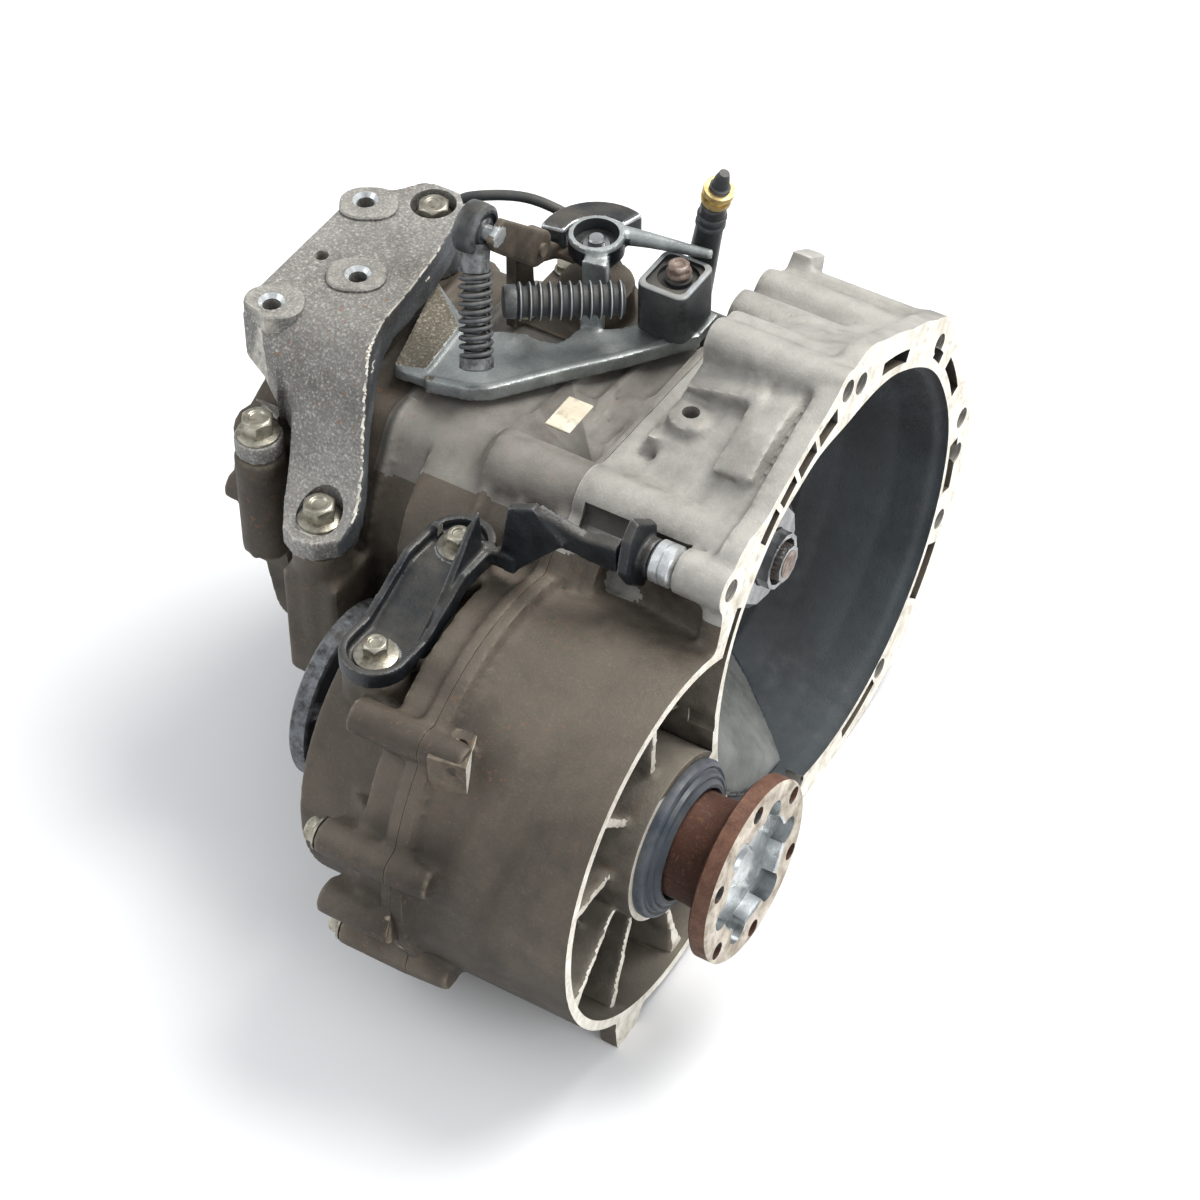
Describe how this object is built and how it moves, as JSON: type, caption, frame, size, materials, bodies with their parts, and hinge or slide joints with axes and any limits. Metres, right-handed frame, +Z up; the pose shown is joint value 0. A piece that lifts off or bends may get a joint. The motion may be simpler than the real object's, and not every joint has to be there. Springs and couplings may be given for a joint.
{
  "type": "transverse manual transmission",
  "caption": "Manual transmission for a front-drive car: clutch bell, gear case, side differential with drive flanges, mount brackets and top shift levers",
  "frame": {"origin": "centre of the bounding box in plan, at the resting plane under the castings", "axes": "+X runs along the input shaft out of the clutch bell, +Y is forward in the vehicle, +Z is up"},
  "size_m": [0.38, 0.478, 0.3686],
  "materials": {
    "cast_light": "sand-cast, weathered",
    "cast_dark": "sand-cast, oily and dusty",
    "cast_bracket": "die-cast, speckled",
    "black_steel": "worn black paint",
    "bright_cast": "bright die-cast",
    "steel": "ground and hardened",
    "zinc": "aged zinc plating",
    "rusty_steel": "surface rust, machined face",
    "rubber": "matte, dusty",
    "plastic": "matte black",
    "brass": "dull"
  },
  "bodies": {
    "housing": {"clutch_housing": "cast_light", "gearbox_housing": "cast_dark", "end_cover": "cast_dark", "mount_bracket": "cast_bracket", "mount_bolt_1": "zinc", "mount_bolt_2": "zinc", "mount_bolt_3": "zinc", "support_bracket": "black_steel", "support_bolt_1": "zinc", "support_bolt_2": "zinc", "support_stud": "zinc", "selector_cover": "cast_dark", "slave_cylinder": "plastic", "bleed_screw": "brass", "bleed_cap": "rubber", "guide_sleeve": "steel", "seal_right": "rubber", "seal_left": "rubber", "oil_plug": "zinc", "reverse_switch": "plastic", "case_bolt_1": "zinc", "case_bolt_2": "zinc", "case_bolt_3": "zinc", "clutch_pipe": "rubber", "reverse_pin": "steel"},
    "input": {"input_shaft": "steel"},
    "speed_gear_1": {"gear_1": "steel"},
    "speed_gear_2": {"gear_2": "steel"},
    "speed_gear_3": {"gear_3": "steel"},
    "speed_gear_4": {"gear_4": "steel"},
    "speed_gear_5": {"gear_5": "steel"},
    "speed_gear_6": {"gear_6": "steel"},
    "idler": {"reverse_idler": "steel"},
    "reverse_wheel": {"reverse_gear": "steel"},
    "differential": {"diff_case": "rusty_steel", "ring_gear": "steel"},
    "output_a": {"output_shaft_a": "steel"},
    "output_b": {"output_shaft_b": "steel"},
    "collar_12": {"sleeve_12": "steel"},
    "collar_34": {"sleeve_34": "steel"},
    "collar_56": {"sleeve_56": "steel"},
    "collar_rev": {"sleeve_rev": "steel"},
    "shift_fork_12": {"fork_12": "steel"},
    "shift_fork_34": {"fork_34": "steel"},
    "shift_fork_56": {"fork_56": "steel"},
    "shift_fork_rev": {"fork_rev": "steel"},
    "right_flange": {"flange_right": "rusty_steel"},
    "left_flange": {"flange_left": "rusty_steel"},
    "relay": {"relay_lever": "cast_bracket"},
    "carrier": {"selector_carrier": "steel"},
    "shifter": {"gearshift_lever": "bright_cast", "selector_shaft": "steel", "shift_cable_pin": "rusty_steel"},
    "select_cable": {"select_cable_end": "plastic"},
    "shift_cable": {"shift_cable_end": "plastic", "shift_cable_boot": "rubber"},
    "release": {"release_lever": "steel"},
    "bearing": {"release_bearing": "steel"},
    "push": {"push_rod": "steel"}
  },
  "joints": [
    {"name": "input_spin", "type": "hinge", "parent": "housing", "child": "input", "pos_m": [0.04, 0.063, 0.166], "axis": [1, 0, 0], "continuous": true},
    {"name": "gear_1_spin", "type": "hinge", "parent": "housing", "child": "speed_gear_1", "pos_m": [-0.01, -0.00906, 0.19014], "axis": [1, 0, 0], "continuous": true},
    {"name": "gear_2_spin", "type": "hinge", "parent": "housing", "child": "speed_gear_2", "pos_m": [-0.01, -0.00906, 0.19014], "axis": [1, 0, 0], "continuous": true},
    {"name": "gear_3_spin", "type": "hinge", "parent": "housing", "child": "speed_gear_3", "pos_m": [-0.01, -0.00906, 0.19014], "axis": [1, 0, 0], "continuous": true},
    {"name": "gear_4_spin", "type": "hinge", "parent": "housing", "child": "speed_gear_4", "pos_m": [-0.01, -0.00906, 0.19014], "axis": [1, 0, 0], "continuous": true},
    {"name": "gear_5_spin", "type": "hinge", "parent": "housing", "child": "speed_gear_5", "pos_m": [-0.01, 0.02261, 0.10162], "axis": [1, 0, 0], "continuous": true},
    {"name": "gear_6_spin", "type": "hinge", "parent": "housing", "child": "speed_gear_6", "pos_m": [-0.01, 0.02261, 0.10162], "axis": [1, 0, 0], "continuous": true},
    {"name": "idler_spin", "type": "hinge", "parent": "housing", "child": "idler", "pos_m": [-0.01, 0.08527, 0.12805], "axis": [1, 0, 0], "continuous": true},
    {"name": "reverse_gear_spin", "type": "hinge", "parent": "housing", "child": "reverse_wheel", "pos_m": [-0.01, 0.02261, 0.10162], "axis": [1, 0, 0], "continuous": true},
    {"name": "differential_spin", "type": "hinge", "parent": "housing", "child": "differential", "pos_m": [0.04, -0.112, 0.121], "axis": [1, 0, 0], "continuous": true},
    {"name": "output_a_spin", "type": "hinge", "parent": "housing", "child": "output_a", "pos_m": [0.04, -0.00906, 0.19014], "axis": [1, 0, 0], "continuous": true},
    {"name": "output_b_spin", "type": "hinge", "parent": "housing", "child": "output_b", "pos_m": [0.04, 0.02261, 0.10162], "axis": [1, 0, 0], "continuous": true},
    {"name": "fork_12_slide", "type": "slide", "parent": "housing", "child": "shift_fork_12", "axis": [1, 0, 0], "range_m": [-0.009, 0.009]},
    {"name": "sleeve_12_slide", "type": "slide", "parent": "output_a", "child": "collar_12", "axis": [1, 0, 0], "range_m": [-0.009, 0.009]},
    {"name": "fork_34_slide", "type": "slide", "parent": "housing", "child": "shift_fork_34", "axis": [1, 0, 0], "range_m": [-0.009, 0.009]},
    {"name": "sleeve_34_slide", "type": "slide", "parent": "output_a", "child": "collar_34", "axis": [1, 0, 0], "range_m": [-0.009, 0.009]},
    {"name": "fork_56_slide", "type": "slide", "parent": "housing", "child": "shift_fork_56", "axis": [1, 0, 0], "range_m": [-0.009, 0.009]},
    {"name": "sleeve_56_slide", "type": "slide", "parent": "output_b", "child": "collar_56", "axis": [1, 0, 0], "range_m": [-0.009, 0.009]},
    {"name": "fork_rev_slide", "type": "slide", "parent": "housing", "child": "shift_fork_rev", "axis": [1, 0, 0], "range_m": [0, 0.009]},
    {"name": "sleeve_rev_slide", "type": "slide", "parent": "output_b", "child": "collar_rev", "axis": [1, 0, 0], "range_m": [0, 0.009]},
    {"name": "flange_right_spin", "type": "hinge", "parent": "differential", "child": "right_flange", "pos_m": [0.14, -0.112, 0.121], "axis": [1, 0, 0], "continuous": true},
    {"name": "flange_left_spin", "type": "hinge", "parent": "differential", "child": "left_flange", "pos_m": [-0.06, -0.112, 0.121], "axis": [1, 0, 0], "continuous": true},
    {"name": "relay_rock", "type": "hinge", "parent": "housing", "child": "relay", "pos_m": [-0.064, 0.075, 0.316], "axis": [1, 0, 0], "range_deg": [-6, 6]},
    {"name": "select_cable_swing", "type": "hinge", "parent": "relay", "child": "select_cable", "pos_m": [-0.074, 0.033, 0.354], "axis": [1, 0, 0], "range_deg": [-6, 6]},
    {"name": "selector_lift", "type": "slide", "parent": "housing", "child": "carrier", "axis": [0, 0, 1], "range_m": [-0.0027, 0.0027]},
    {"name": "shift_turn", "type": "hinge", "parent": "carrier", "child": "shifter", "pos_m": [-0.038, 0.101, 0.286], "axis": [0, 0, 1], "range_deg": [-7, 7]},
    {"name": "shift_cable_swing", "type": "hinge", "parent": "shifter", "child": "shift_cable", "pos_m": [0.013, 0.105, 0.291], "axis": [0, 0, 1], "range_deg": [-7, 7]},
    {"name": "release_rock", "type": "hinge", "parent": "housing", "child": "release", "pos_m": [0.081, 0.01386, 0.13158], "axis": [0, 0.5737, -0.8191], "range_deg": [0, 6]},
    {"name": "bearing_slide", "type": "slide", "parent": "housing", "child": "bearing", "axis": [1, 0, 0], "range_m": [0, 0.0065]},
    {"name": "push_rod_slide", "type": "slide", "parent": "housing", "child": "push", "axis": [1, 0, 0], "range_m": [0, 0.0175]}
  ],
  "couplings": [
    {"joint": "gear_1_spin", "follows": "input_spin", "ratio": -0.35714},
    {"joint": "gear_2_spin", "follows": "input_spin", "ratio": -0.58333},
    {"joint": "gear_3_spin", "follows": "input_spin", "ratio": -0.9},
    {"joint": "gear_4_spin", "follows": "input_spin", "ratio": -1.1111},
    {"joint": "gear_5_spin", "follows": "input_spin", "ratio": -0.9},
    {"joint": "gear_6_spin", "follows": "input_spin", "ratio": -1.1111},
    {"joint": "idler_spin", "follows": "input_spin", "ratio": -0.83333},
    {"joint": "reverse_gear_spin", "follows": "input_spin", "ratio": 0.45454},
    {"joint": "output_a_spin", "follows": "differential_spin", "ratio": -4.1667},
    {"joint": "output_b_spin", "follows": "differential_spin", "ratio": -2.7778},
    {"joint": "sleeve_12_slide", "follows": "fork_12_slide", "ratio": 1},
    {"joint": "sleeve_34_slide", "follows": "fork_34_slide", "ratio": 1},
    {"joint": "sleeve_56_slide", "follows": "fork_56_slide", "ratio": 1},
    {"joint": "sleeve_rev_slide", "follows": "fork_rev_slide", "ratio": 1},
    {"joint": "flange_left_spin", "follows": "flange_right_spin", "ratio": -1},
    {"joint": "select_cable_swing", "follows": "selector_lift", "rad_per_m": -38.462},
    {"joint": "relay_rock", "follows": "selector_lift", "rad_per_m": 38.462},
    {"joint": "shift_cable_swing", "follows": "shift_turn", "ratio": -1},
    {"joint": "bearing_slide", "follows": "release_rock", "m_per_rad": 0.06},
    {"joint": "push_rod_slide", "follows": "release_rock", "m_per_rad": 0.164}
  ]
}
